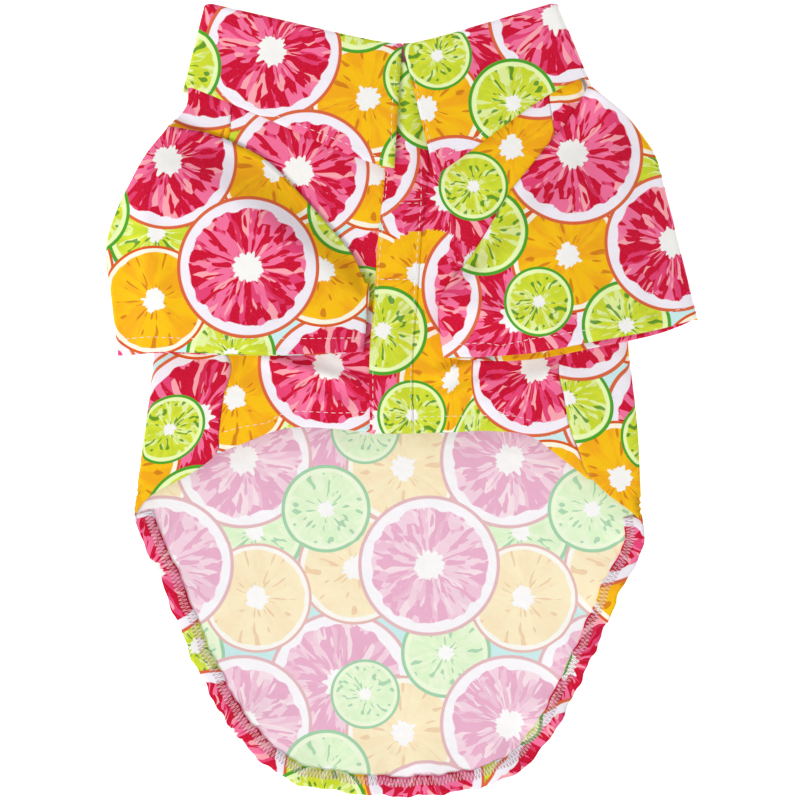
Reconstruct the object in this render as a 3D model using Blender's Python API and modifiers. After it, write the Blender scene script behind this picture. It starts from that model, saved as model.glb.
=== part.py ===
"""Dog shirt lying on its back with the belly side up.

The tail of the back points to -Y, the collar to +Y, and the shirt rests on Z = 0. Each piece of cloth
starts as a flat grid, takes its place by a formula of the named sizes, and gets its wall by Solidify.
Left and right are those of a viewer who looks down on the belly side.
"""
import math
from collections import namedtuple

import bmesh
import bpy
import numpy as np

# Driving dimensions, in metres
BACK_LENGTH = 0.3385       # side of the neckline to the end of the tail
BELLY_LENGTH = 0.171       # side of the neckline to the belly hem
HALF_WIDTH = 0.111         # centre line to the side fold of the body
BODY_LOFT = 0.017          # height of the body tube over its middle
EDGE_LOFT = 0.006          # height of the body tube at its side folds
SLEEVE_LENGTH = 0.105      # armhole to sleeve hem, down the outer fold
SLEEVE_OPENING = 0.115     # width of the sleeve hem lying flat
SLEEVE_LOFT = 0.0125       # height of the sleeve tube over its middle
SLEEVE_EDGE = 0.005        # height of the sleeve tube at its folds
SLEEVE_DROP = 0.014        # width over which a sleeve comes down beside the body
COLLAR_LEFT = 0.0913       # centre line to the end of the roll, left
COLLAR_RIGHT = 0.072       # the same, right
COLLAR_STAND = 0.0258      # neckline to the top of the roll
COLLAR_FALL = 0.0575       # roll to the tip of the collar
COLLAR_ROLL = 0.0036       # outer width of the rolled edge
NECK_DIP = 0.0184          # how far the neckline drops from its sides to the centre
PLACKET_WIDTH = 0.020
CLOSURE_WIDTH = 0.012
HEM_WIDTH = 0.009          # turned-in hem of the tail
HEM_WAVE = 0.0011          # height of the waves along the tail's edge
HEM_WAVE_LENGTH = 0.034
EDGE_CURL = 0.0012         # how far the tail's edge lifts off the surface
CURL_REACH = 0.016         # width over which it lifts
CLOTH = 0.0012             # wall of the cloth
GAP = 0.0003               # clearance between two pieces of cloth
SLEEVE_CLEARANCE = 0.0012  # clearance under the loose side of a sleeve

# Worked out from them
NECK_LINE = (BACK_LENGTH + COLLAR_STAND) / 2 - COLLAR_STAND
NECK_LIFT = COLLAR_ROLL - CLOTH
BACK_FALL = 0.72 * COLLAR_FALL
LIFT_END = BACK_FALL + NECK_DIP - COLLAR_STAND + 4 * CLOTH
LIFT_RUN = 5 * COLLAR_ROLL

# Sides of the body down to the corner of the tail: along and the two half widths are shares of
# BACK_LENGTH and HALF_WIDTH, loft and edge of BODY_LOFT and EDGE_LOFT
BodyRow = namedtuple("BodyRow", "along left right loft edge")
BODY = [
    BodyRow(0.000, 0.850, 0.705, 0.80, 1.00),
    BodyRow(0.045, 0.906, 0.765, 0.84, 1.00),
    BodyRow(0.089, 0.980, 0.806, 0.88, 1.00),
    BodyRow(0.257, 1.013, 0.901, 1.00, 1.00),
    BodyRow(0.411, 1.034, 0.943, 0.95, 0.95),
    BodyRow(0.490, 1.063, 0.972, 0.80, 0.85),
    BodyRow(0.590, 1.104, 0.988, 0.50, 0.65),
    BodyRow(0.617, 1.113, 0.993, 0.40, 0.60),
    BodyRow(0.650, 1.080, 1.005, 0.40, 0.60),
    BodyRow(0.717, 0.988, 0.910, 0.40, 0.60),
    BodyRow(0.808, 0.877, 0.789, 0.40, 0.60),
    BodyRow(0.884, 0.760, 0.678, 0.40, 0.60),
]

# Round end of the tail from its left to its right corner, in shares of HALF_WIDTH and BACK_LENGTH
EndRow = namedtuple("EndRow", "at across along")
TAIL_END = [
    EndRow(0.00, -0.760, 0.884),
    EndRow(0.10, -0.690, 0.916),
    EndRow(0.22, -0.578, 0.954),
    EndRow(0.33, -0.454, 0.980),
    EndRow(0.47, -0.213, 0.995),
    EndRow(0.56, -0.010, 1.000),
    EndRow(0.66, 0.218, 0.994),
    EndRow(0.78, 0.412, 0.978),
    EndRow(0.90, 0.566, 0.941),
    EndRow(1.00, 0.678, 0.884),
]

# Belly hem of the front panels, in shares of HALF_WIDTH and BELLY_LENGTH
HemRow = namedtuple("HemRow", "across along")
BELLY_HEM = [
    HemRow(-0.765, 1.053),
    HemRow(-0.669, 1.029),
    HemRow(-0.495, 0.988),
    HemRow(-0.271, 0.988),
    HemRow(-0.093, 1.000),
    HemRow(0.189, 0.997),
    HemRow(0.387, 0.994),
    HemRow(0.537, 1.010),
    HemRow(0.657, 1.066),
    HemRow(0.769, 1.123),
]

# Edge of the back panel where it wraps over to the front: shoulder seam, armhole, side seam, hem.
# Both columns of width are shares of HALF_WIDTH, along is a share of BELLY_LENGTH
WrapRow = namedtuple("WrapRow", "along left right")
WRAP_EDGE = [
    WrapRow(0.000, 0.707, 0.600),
    WrapRow(0.140, 0.710, 0.618),
    WrapRow(0.200, 0.722, 0.638),
    WrapRow(0.281, 0.860, 0.752),
    WrapRow(0.456, 0.939, 0.835),
    WrapRow(0.600, 0.922, 0.835),
    WrapRow(0.725, 0.818, 0.756),
    WrapRow(0.800, 0.715, 0.655),
    WrapRow(0.900, 0.740, 0.668),
    WrapRow(1.000, 0.760, 0.700),
    WrapRow(1.053, 0.770, 0.730),
    WrapRow(1.105, 0.870, 0.765),
    WrapRow(1.163, 1.035, 0.850),
    WrapRow(1.217, 1.113, 0.965),
]

# Outer edges of the two front panels: shoulder seam, armhole, side seam. Shares as above
PanelRow = namedtuple("PanelRow", "at across along")
FRONT_EDGE = {
    -1: [
        PanelRow(0.00, 0.702, 0.000),
        PanelRow(0.16, 0.708, 0.190),
        PanelRow(0.27, 0.600, 0.262),
        PanelRow(0.38, 0.470, 0.325),
        PanelRow(0.50, 0.285, 0.448),
        PanelRow(0.60, 0.150, 0.560),
        PanelRow(0.67, 0.150, 0.640),
        PanelRow(0.74, 0.350, 0.705),
        PanelRow(0.82, 0.706, 0.800),
        PanelRow(0.91, 0.738, 0.925),
        PanelRow(1.00, 0.765, 1.053),
    ],
    1: [
        PanelRow(0.00, 0.595, 0.000),
        PanelRow(0.16, 0.626, 0.190),
        PanelRow(0.27, 0.560, 0.275),
        PanelRow(0.38, 0.455, 0.350),
        PanelRow(0.50, 0.330, 0.470),
        PanelRow(0.60, 0.245, 0.560),
        PanelRow(0.67, 0.260, 0.635),
        PanelRow(0.74, 0.400, 0.700),
        PanelRow(0.82, 0.648, 0.800),
        PanelRow(0.91, 0.672, 0.925),
        PanelRow(1.00, 0.764, 1.123),
    ],
}

# Left edge of the placket, in shares of HALF_WIDTH and BELLY_LENGTH
PlacketRow = namedtuple("PlacketRow", "along left")
PLACKET = [
    PlacketRow(0.110, -0.073),
    PlacketRow(0.294, -0.073),
    PlacketRow(0.491, -0.102),
    PlacketRow(0.649, -0.118),
    PlacketRow(0.780, -0.135),
    PlacketRow(0.967, -0.135),
]

# Start of a sleeve from its outer to its inner fold: seam is on its upper side, under on its lower
# side. All are shares of HALF_WIDTH and BELLY_LENGTH
ArmRow = namedtuple("ArmRow", "at seam_across seam_along under_across under_along")
ARMHOLE = {
    -1: [
        ArmRow(0.00, 0.985, 0.180, 0.985, 0.180),
        ArmRow(0.14, 0.839, 0.195, 0.975, 0.375),
        ArmRow(0.30, 0.680, 0.232, 0.914, 0.560),
        ArmRow(0.44, 0.550, 0.278, 0.789, 0.658),
        ArmRow(0.60, 0.400, 0.372, 0.582, 0.706),
        ArmRow(0.75, 0.288, 0.446, 0.350, 0.706),
        ArmRow(0.88, 0.180, 0.525, 0.200, 0.665),
        ArmRow(1.00, 0.122, 0.600, 0.122, 0.600),
    ],
    1: [
        ArmRow(0.00, 0.800, 0.110, 0.800, 0.110),
        ArmRow(0.14, 0.711, 0.165, 0.880, 0.294),
        ArmRow(0.30, 0.620, 0.222, 0.850, 0.483),
        ArmRow(0.44, 0.530, 0.288, 0.785, 0.617),
        ArmRow(0.60, 0.430, 0.362, 0.620, 0.692),
        ArmRow(0.75, 0.330, 0.462, 0.420, 0.700),
        ArmRow(0.88, 0.260, 0.525, 0.280, 0.660),
        ArmRow(1.00, 0.184, 0.585, 0.184, 0.585),
    ],
}

# Sleeve hem from the outer to the inner fold: across is a share of SLEEVE_OPENING from the inner
# fold, drop a share of SLEEVE_LENGTH below the armhole's outer end
SleeveHemRow = namedtuple("SleeveHemRow", "at across drop")
SLEEVE_HEM = {
    -1: [
        SleeveHemRow(0.00, 1.030, 1.000),
        SleeveHemRow(0.13, 0.905, 0.985),
        SleeveHemRow(0.35, 0.680, 0.990),
        SleeveHemRow(0.70, 0.330, 0.995),
        SleeveHemRow(1.00, 0.030, 0.985),
    ],
    1: [
        SleeveHemRow(0.00, 1.013, 1.020),
        SleeveHemRow(0.13, 0.875, 1.060),
        SleeveHemRow(0.35, 0.590, 1.115),
        SleeveHemRow(0.70, 0.290, 1.170),
        SleeveHemRow(1.00, -0.025, 1.185),
    ],
}

# How far the sleeves' two folds bow out from a straight line, in shares of SLEEVE_LENGTH
BowRow = namedtuple("BowRow", "down left right inner_left inner_right")
SLEEVE_BOW = [
    BowRow(0.00, 0.000, 0.000, 0.000, 0.000),
    BowRow(0.10, 0.060, 0.080, 0.000, 0.012),
    BowRow(0.25, 0.110, 0.127, 0.000, 0.028),
    BowRow(0.50, 0.156, 0.098, 0.000, 0.035),
    BowRow(0.75, 0.083, 0.050, 0.000, 0.022),
    BowRow(1.00, 0.000, 0.000, 0.000, 0.000),
]

# Collar from the centre front (0) to its side fold (1): drop and spread of the outer edge below
# and beyond the roll, in shares of COLLAR_FALL
CollarRow = namedtuple("CollarRow", "at left_drop left_spread right_drop right_spread")
COLLAR = [
    CollarRow(0.00, 1.00, 0.060, 1.05, 0.250),
    CollarRow(0.25, 0.93, 0.090, 0.92, 0.240),
    CollarRow(0.50, 0.84, 0.110, 0.79, 0.235),
    CollarRow(0.75, 0.75, 0.136, 0.66, 0.250),
    CollarRow(1.00, 0.67, 0.168, 0.59, 0.256),
]

# Soft folds of the cloth from one place to another: across is a share of HALF_WIDTH, along of
# BELLY_LENGTH, width of HALF_WIDTH and height of BODY_LOFT
FoldRow = namedtuple("FoldRow", "piece across along end_across end_along width height")
SOFT_FOLDS = [
    FoldRow("body", -0.58, 0.80, -0.25, 0.87, 0.06, 0.10),
    FoldRow("body", 0.17, 0.86, 0.33, 0.82, 0.06, 0.14),
    FoldRow("body", 0.36, 0.92, 0.60, 0.84, 0.07, 0.08),
    FoldRow("sleeve_left", -0.20, 0.60, -0.62, 0.76, 0.09, 0.12),
    FoldRow("sleeve_left", -1.10, 0.38, -0.98, 0.70, 0.08, 0.12),
    FoldRow("sleeve_left", -0.90, 0.25, -0.45, 0.50, 0.09, 0.08),
    FoldRow("sleeve_right", 0.22, 0.66, 0.60, 0.72, 0.09, 0.12),
    FoldRow("sleeve_right", 1.00, 0.25, 1.05, 0.62, 0.08, 0.12),
    FoldRow("sleeve_right", 0.80, 0.22, 0.45, 0.52, 0.09, 0.08),
]

CITRUS_PINK = (0.72, 0.06, 0.20)
CITRUS_ORANGE = (0.90, 0.42, 0.05)
CITRUS_LIME = (0.48, 0.66, 0.10)
PALE_PINK = (0.85, 0.55, 0.62)
PLAIN_WHITE = (0.85, 0.85, 0.82)


def read(rows, column, at):
    """The value of a column at a place along the table's first column, on a smooth curve."""
    along = np.array([row[0] for row in rows])
    values = np.array([getattr(row, column) for row in rows])
    slopes = np.gradient(values, along)
    at = min(max(at, along[0]), along[-1])
    i = min(int(np.searchsorted(along, at, side="right")) - 1, len(along) - 2)
    run = along[i + 1] - along[i]
    t = (at - along[i]) / run
    start = values[i] * (1 + 2 * t) * (1 - t) ** 2 + slopes[i] * run * t * (1 - t) ** 2
    end = values[i + 1] * (3 - 2 * t) * t ** 2 - slopes[i + 1] * run * (1 - t) * t ** 2
    return float(start + end)


def ease(value):
    """0 below 0, 1 above 1, and a smooth step between."""
    value = min(max(value, 0.0), 1.0)
    return value * value * (3 - 2 * value)


def side_name(side):
    return "left" if side < 0 else "right"


def back_y(along):
    return NECK_LINE - along * BACK_LENGTH


def belly_y(along):
    return NECK_LINE - along * BELLY_LENGTH


def collar_reach(side):
    return COLLAR_LEFT if side < 0 else COLLAR_RIGHT


def collar_side(y, side):
    """From the centre line to the outside of the collar's side fold."""
    drop = COLLAR[-1].left_drop if side < 0 else COLLAR[-1].right_drop
    spread = COLLAR[-1].left_spread if side < 0 else COLLAR[-1].right_spread
    down = (NECK_LINE + COLLAR_STAND - y) / (drop * COLLAR_FALL)
    return collar_reach(side) + spread * COLLAR_FALL * min(max(down, 0.0), 1.0), down


def half_width(y, side):
    """From the centre line to the outside of the body's side fold, which passes inside the collar."""
    free = HALF_WIDTH * read(BODY, side_name(side), (NECK_LINE - y) / BACK_LENGTH)
    collar, down = collar_side(y, side)
    room = collar - 2 * CLOTH
    return min(free, room) + max(free - room, 0.0) * ease((down - 1.1) / 0.4)


def neck_drop(x):
    """How far the neckline and the collar's roll have dropped at a place across."""
    rounding = 0.014
    out = math.sqrt(min(abs(x) / collar_reach(x), 1.0) ** 2 + rounding)
    side, centre = math.sqrt(1 + rounding), math.sqrt(rounding)
    return NECK_DIP * (side - out) / (side - centre)


def neck_shift(x, y):
    """The cloth below the neckline follows its drop, less and less."""
    return neck_drop(x) * ease(1 - (NECK_LINE - y) / (4 * NECK_DIP))


def floor_lift(y):
    """The back of the body rises over the back of the collar, which lies under it."""
    return NECK_LIFT * ease((y - (NECK_LINE - LIFT_END - LIFT_RUN)) / LIFT_RUN)


def soft_folds(piece, x, y):
    """Height that the soft folds of a piece add at a place."""
    height = 0.0
    for fold in SOFT_FOLDS:
        if fold.piece != piece:
            continue
        start = np.array([fold.across * HALF_WIDTH, belly_y(fold.along)])
        run = np.array([fold.end_across * HALF_WIDTH, belly_y(fold.end_along)]) - start
        share = min(max(float(np.dot([x, y] - start, run) / np.dot(run, run)), 0.0), 1.0)
        away = np.linalg.norm([x, y] - start - share * run) / (fold.width * HALF_WIDTH)
        height += fold.height * BODY_LOFT * math.exp(-(away ** 2))
    return height


def edge_height(y):
    return max(EDGE_LOFT * read(BODY, "edge", (NECK_LINE - y) / BACK_LENGTH), 3 * CLOTH)


def body_top(x, y):
    """Outside of the belly side of the body."""
    edge = edge_height(y)
    middle = max(BODY_LOFT * read(BODY, "loft", (NECK_LINE - y) / BACK_LENGTH), edge)
    across = min(abs(x) / half_width(y, x), 1.0)
    return edge + (middle - edge) * (1 - across ** 2) + soft_folds("body", x, y)


def under_sleeve(x, y):
    """What a sleeve lies on: the body, and beside it the surface under the shirt."""
    beyond = (abs(x) - half_width(y, x) - 2 * CLOTH) / SLEEVE_DROP
    return body_top(x, y) * (1 - ease(beyond))


def tail_outline(count):
    """The tail's edge from its left to its right side, as evenly spaced points."""
    starts = np.linspace(BODY[7].along, BODY[-1].along, 24)
    left = [(-HALF_WIDTH * read(BODY, "left", a), back_y(a)) for a in starts]
    right = [(HALF_WIDTH * read(BODY, "right", a), back_y(a)) for a in starts]
    ends = np.linspace(0, 1, 48)[1:-1]
    end = [(HALF_WIDTH * read(TAIL_END, "across", t), back_y(read(TAIL_END, "along", t))) for t in ends]
    points = np.array(left + end + right[::-1])
    lengths = np.concatenate([[0], np.cumsum(np.linalg.norm(np.diff(points, axis=0), axis=1))])
    places = np.linspace(0, lengths[-1], count)
    return np.column_stack([np.interp(places, lengths, points[:, i]) for i in (0, 1)]), places


TAIL_EDGE, TAIL_PLACES = tail_outline(240)


def tail_height(x, y):
    """The tail's edge lifts a little off the surface, in waves along the hem."""
    away = np.hypot(TAIL_EDGE[:, 0] - x, TAIL_EDGE[:, 1] - y)
    nearest = int(np.argmin(away))
    wave = HEM_WAVE * math.sin(2 * math.pi * TAIL_PLACES[nearest] / HEM_WAVE_LENGTH)
    fade = math.exp(-((away[nearest] / CURL_REACH) ** 2))
    begin = ease((back_y(BODY[6].along) - y) / (4 * EDGE_LOFT))
    return (EDGE_CURL + wave) * fade * begin


def wrap_edge(y, side):
    """How far from the centre line the back panel ends on the belly side."""
    return HALF_WIDTH * read(WRAP_EDGE, side_name(side), (NECK_LINE - y) / BELLY_LENGTH)


def around_side(distance, y, side):
    """The back panel's outside at a distance from the centre line, up round the side fold."""
    low = floor_lift(y)
    radius = (edge_height(y) - low) / 2
    flat = half_width(y, side) - radius
    if distance <= flat:
        return side * distance, low
    turn = (distance - flat) / radius
    if turn <= math.pi:
        return side * (flat + radius * math.sin(turn)), low + radius * (1 - math.cos(turn))
    x = flat - (distance - flat - math.pi * radius)
    return side * x, body_top(side * x, y)


def sheet_length(y, side):
    """From the centre line over the side fold to the back panel's edge."""
    radius = (edge_height(y) - floor_lift(y)) / 2
    flat = half_width(y, side) - radius
    last = belly_y(WRAP_EDGE[-1].along)
    wrapped = math.pi * radius + flat - wrap_edge(y, side)
    opened = 0.7 * radius
    return flat + wrapped + (opened - wrapped) * ease((last - y) / (5 * CLOTH))


def make_material(name, colour, roughness):
    material = bpy.data.materials.new(name)
    material.use_nodes = True
    shader = material.node_tree.nodes["Principled BSDF"]
    shader.inputs["Base Color"].default_value = (*colour, 1)
    shader.inputs["Roughness"].default_value = roughness
    shader.inputs["Metallic"].default_value = 0.0
    return material


def lay_cloth(parts, name, columns, rows, place, colour, wall=CLOTH, ring=False):
    """A grid of columns by rows, put in its place point by point, with a wall on its inner side."""
    mesh = bpy.data.meshes.new(name)
    grid = bmesh.new()
    bmesh.ops.create_grid(grid, x_segments=columns, y_segments=rows, size=0.5)
    for vertex in grid.verts:
        vertex.co = place(vertex.co.x + 0.5, vertex.co.y + 0.5)
    if ring:
        bmesh.ops.remove_doubles(grid, verts=grid.verts, dist=1e-6)
    grid.to_mesh(mesh)
    grid.free()
    cloth = bpy.data.objects.new(name, mesh)
    mesh.materials.append(make_material(f"{name}_cloth", colour, 0.85))
    mesh.shade_smooth()
    parts.objects.link(cloth)
    shell = cloth.modifiers.new("wall", "SOLIDIFY")
    shell.thickness = wall
    shell.offset = -1
    shell.use_even_offset = True
    return cloth


def patch(u, v, first, last, left, right):
    """A point of a surface spanned by four edges, each a function of 0 to 1 that gives x and y."""
    first_u, last_u = np.array(first(u)), np.array(last(u))
    left_v, right_v = np.array(left(v)), np.array(right(v))
    corners = (1 - u) * ((1 - v) * np.array(first(0)) + v * np.array(last(0)))
    corners += u * ((1 - v) * np.array(first(1)) + v * np.array(last(1)))
    return (1 - v) * first_u + v * last_u + (1 - u) * left_v + u * right_v - corners


def make_back_panel(parts):
    """Grid rows run from side to side. Its last rows bend round to the end of the tail."""
    floor_columns, fold_columns, wrap_columns = 12, 5, 5
    half = floor_columns // 2
    side_columns = half + fold_columns + wrap_columns
    body_rows, tail_rows = 19, 12
    tail_start = BODY[8].along
    margin = 2 * HEM_WIDTH

    def across(index, y):
        side = -1 if index < side_columns else 1
        index = abs(index - side_columns)
        length = sheet_length(y, side)
        radius = (edge_height(y) - floor_lift(y)) / 2
        outer = max(length - half_width(y, side) + radius, margin)
        folded = min(math.pi * radius, 0.55 * outer)
        if index <= half:
            distance = (length - outer) * index / half
        elif index <= half + fold_columns:
            distance = length - outer + folded * (index - half) / fold_columns
        else:
            distance = length - outer + folded
            distance += (outer - folded) * (index - half - fold_columns) / wrap_columns
        x, z = around_side(distance, y, side)
        return x, y - neck_shift(x, y) - 2 * GAP, z

    def start(u):
        return across(round(u * 2 * side_columns), back_y(tail_start))[:2]

    def end(u):
        return HALF_WIDTH * read(TAIL_END, "across", u), back_y(read(TAIL_END, "along", u))

    def tail_side(side):
        def edge(v):
            along = tail_start + v * (BODY[-1].along - tail_start)
            return side * HALF_WIDTH * read(BODY, side_name(side), along), back_y(along)
        return edge

    def place(u, v):
        row = round(v * (body_rows + tail_rows))
        index = round(u * 2 * side_columns)
        if row <= body_rows:
            x, y, z = across(index, back_y(tail_start * row / body_rows))
        else:
            down = (row - body_rows) / tail_rows
            x, y = patch(u, down, start, end, tail_side(-1), tail_side(1))
            z = across(index, back_y(tail_start))[2] * (1 - down)
        return x, y, z + tail_height(x, y)

    return lay_cloth(parts, "back_panel", 2 * side_columns, body_rows + tail_rows, place, CITRUS_PINK)


def make_tail_hem(parts):
    """A band on the inside of the tail, along its edge."""
    first, last = 6, len(TAIL_EDGE) - 7
    steps = 56

    def place(u, v):
        at = first + u * (last - first)
        index = int(at)
        ahead = TAIL_EDGE[min(index + 3, len(TAIL_EDGE) - 1)] - TAIL_EDGE[max(index - 3, 0)]
        inward = np.array([-ahead[1], ahead[0]]) / np.linalg.norm(ahead)
        point = TAIL_EDGE[index] + inward * (CLOTH / 2 + v * HEM_WIDTH)
        height = tail_height(*point) + 2 * CLOTH + 4 * GAP
        return point[0], point[1], height

    return lay_cloth(parts, "tail_hem", steps, 2, place, CITRUS_ORANGE)


def placket_left(along):
    return HALF_WIDTH * read(PLACKET, "left", along)


def front_split(along):
    """The line under the placket where the two front panels meet."""
    return placket_left(along) + 0.78 * PLACKET_WIDTH


def make_front(parts, side, colour):
    """One belly panel. Its inner edge lies under the placket."""

    def outer(v):
        y = belly_y(read(FRONT_EDGE[side], "along", v))
        across = read(FRONT_EDGE[side], "across", v) * HALF_WIDTH
        return side * min(across, wrap_edge(y, side) - 3 * GAP), y

    def inner(v):
        x = front_split(v) + side * GAP
        return x, belly_y(v)

    def neck(u):
        start, stop = outer(0)[0], inner(0)[0]
        return start + u * (stop - start), belly_y(0)

    def hem(u):
        start, stop = outer(1)[0], inner(1)[0]
        x = start + u * (stop - start)
        return x, belly_y(read(BELLY_HEM, "along", x / HALF_WIDTH))

    def place(u, v):
        u, v = (u if side < 0 else 1 - u), 1 - v
        x, y = patch(u, v, neck, hem, outer, inner)
        y = y - neck_shift(x, y) - 2 * GAP
        return x, y, body_top(x, y)

    return lay_cloth(parts, f"front_{side_name(side)}", 10, 15, place, colour)


def make_placket(parts):
    def place(u, v):
        along = 0.995 - v * (0.995 - 0.125)
        x = placket_left(along) + u * PLACKET_WIDTH
        y = belly_y(along)
        y = y - neck_shift(x, y)
        return x, y, body_top(x, y) + 2 * CLOTH + 3 * GAP

    return lay_cloth(parts, "placket", 4, 15, place, CITRUS_ORANGE)


def make_closure(parts):
    def place(u, v):
        along = 0.96 - v * (0.96 - 0.40)
        x = placket_left(along) + GAP + u * CLOSURE_WIDTH
        y = belly_y(along)
        return x, y, body_top(x, y) + CLOTH + 2 * GAP

    return lay_cloth(parts, "closure_strip", 3, 10, place, PLAIN_WHITE)


def make_sleeve(parts, side, colour):
    """A flattened tube. Its upper and its lower side join at half round folds."""
    flat_columns, fold_columns, rings = 11, 3, 9
    columns = 2 * (flat_columns + fold_columns)

    inset = SLEEVE_EDGE / 2 + CLOTH

    def start_line(kind):
        def edge(u):
            across = read(ARMHOLE[side], f"{kind}_across", u) * HALF_WIDTH + inset * (2 * u - 1)
            return side * across, belly_y(read(ARMHOLE[side], f"{kind}_along", u))
        return edge

    outer_start = start_line("seam")(0)
    inner_start = start_line("seam")(1)

    def hem(u):
        across = read(SLEEVE_HEM[side], "across", u) * (SLEEVE_OPENING - 2 * inset)
        drop = read(SLEEVE_HEM[side], "drop", u) * SLEEVE_LENGTH
        return inner_start[0] + side * across, outer_start[1] - drop

    def fold(begin, finish, column, direction):
        def edge(v):
            bow = read(SLEEVE_BOW, column, v) * SLEEVE_LENGTH * direction
            return begin[0] + v * (finish[0] - begin[0]) + bow, begin[1] + v * (finish[1] - begin[1])
        return edge

    outer_fold = fold(outer_start, hem(0), side_name(side), side)
    inner_fold = fold(inner_start, hem(1), f"inner_{side_name(side)}", -side)

    def upper(u, v):
        x, y = patch(u, v, start_line("seam"), hem, outer_fold, inner_fold)
        ground = under_sleeve(x, y)
        tightest = 3 * CLOTH * abs(2 * u - 1) ** 8
        flat_part = tightest + (SLEEVE_EDGE - tightest) * ease(v / 0.25) + CLOTH + GAP
        swell = (SLEEVE_LOFT - SLEEVE_EDGE) * math.sin(math.pi * u) ** 0.8 * ease(v / 0.35)
        folds = soft_folds(f"sleeve_{side_name(side)}", x, y) * ease(v / 0.35)
        return np.array([x, y, ground + flat_part + swell + folds])

    def lower(u, v):
        x, y = patch(u, v, start_line("under"), hem, outer_fold, inner_fold)
        return np.array([x, y, under_sleeve(x, y) + SLEEVE_CLEARANCE])

    def place(u, v):
        at = round(u * columns) % columns
        if at <= flat_columns:
            return upper(at / flat_columns, v)
        if at < flat_columns + fold_columns:
            return turn(1, (at - flat_columns) / fold_columns, v)
        if at <= 2 * flat_columns + fold_columns:
            return lower(1 - (at - flat_columns - fold_columns) / flat_columns, v)
        return turn(0, 1 - (at - 2 * flat_columns - fold_columns) / fold_columns, v)

    def turn(end, share, v):
        top, bottom = upper(end, v), lower(end, v)
        outward = -side if end else side
        angle = math.pi * share
        reach = np.linalg.norm(top - bottom) / 2
        bulge = np.array([outward * reach * math.sin(angle), 0, 0])
        return (top + bottom) / 2 + (top - bottom) / 2 * math.cos(angle) + bulge

    def turned(u, v):
        return place(1 - u if side < 0 else u, v)

    return lay_cloth(parts, f"sleeve_{side_name(side)}", columns, rings, turned, colour, ring=True)


def make_collar(parts):
    """One strip round the neck: up the stand, over the roll, and down the fall outside it."""
    front, fold, back = 8, 4, 12
    stand_rows, roll_rows, fall_rows = 2, 4, 5
    columns = 2 * front + 2 * fold + back
    rows = stand_rows + roll_rows + fall_rows
    half_roll = COLLAR_ROLL / 2
    low = half_roll

    def station(index):
        """Side, place from centre to side, and angle round the side fold from front to back."""
        if index <= front:
            return -1, index / front, 0.0
        if index < front + fold:
            return -1, 1.0, math.pi * (index - front) / fold
        if index <= front + fold + back:
            across = 2 * (index - front - fold) / back - 1
            return (-1 if across < 0 else 1), abs(across), math.pi
        if index < columns - front:
            return 1, 1.0, math.pi * (columns - front - index) / fold
        return 1, (columns - index) / front, 0.0

    def leaf_lift(x):
        """The front of the collar lies over the placket and bulges there."""
        return (2 * CLOTH + 4 * GAP) * math.exp(-((x / (2 * PLACKET_WIDTH)) ** 2))

    def place(u, v):
        side, out, angle = station(round(u * columns))
        row = round(v * rows)
        reach = collar_reach(side)
        high_edge = EDGE_LOFT + half_roll - CLOTH
        fold_radius = (high_edge - low) / 2
        inner_reach = reach - fold_radius - half_roll
        roll_x = side * (out * (inner_reach - GAP) + GAP)
        roll_y = NECK_LINE + COLLAR_STAND - half_roll - neck_drop(side * out * reach)
        drop = read(COLLAR, f"{side_name(side)}_drop", out) * COLLAR_FALL
        spread = read(COLLAR, f"{side_name(side)}_spread", out) * COLLAR_FALL * side
        back_share = (1 - math.cos(angle)) / 2
        drop = drop + (BACK_FALL - drop) * back_share
        spread = spread * (1 if out > 0.999 else 1 - back_share * (1 - out))
        down = max(0.0, (row - stand_rows - roll_rows) / fall_rows)
        if row <= stand_rows:
            turn = 0.0
            y = roll_y - (COLLAR_STAND - half_roll) * (1 - row / stand_rows)
        else:
            turn = math.pi * min(1.0, (row - stand_rows) / roll_rows)
            y = roll_y + half_roll * math.sin(turn) - (drop - half_roll) * down
        x = roll_x + spread * down
        high = body_top(x, min(y, NECK_LINE)) + half_roll - CLOTH + leaf_lift(x) * down ** 0.5
        middle = (high + low) / 2
        radius = (high - low) / 2
        normal = np.array([side * math.sin(angle), 0.0, math.cos(angle)])
        ring = np.array([x + side * fold_radius * math.sin(angle), y, middle + radius * math.cos(angle)])
        return ring - normal * half_roll * math.cos(turn)

    return lay_cloth(parts, "collar", columns, rows, place, CITRUS_LIME)


def main():
    for old in list(bpy.data.objects):
        bpy.data.objects.remove(old)
    parts = bpy.data.collections.new("dog_shirt")
    bpy.context.scene.collection.children.link(parts)
    make_back_panel(parts)
    make_tail_hem(parts)
    make_front(parts, -1, CITRUS_ORANGE)
    make_front(parts, 1, PALE_PINK)
    make_closure(parts)
    make_placket(parts)
    make_sleeve(parts, -1, CITRUS_PINK)
    make_sleeve(parts, 1, CITRUS_PINK)
    make_collar(parts)


main()
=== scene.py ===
"""Looks of the dog shirt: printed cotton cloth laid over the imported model, belly side up."""
import bisect
import math
from collections import namedtuple

import bmesh
import bpy
import numpy as np
from mathutils import Matrix, Vector
from mathutils.bvhtree import BVHTree


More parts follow.
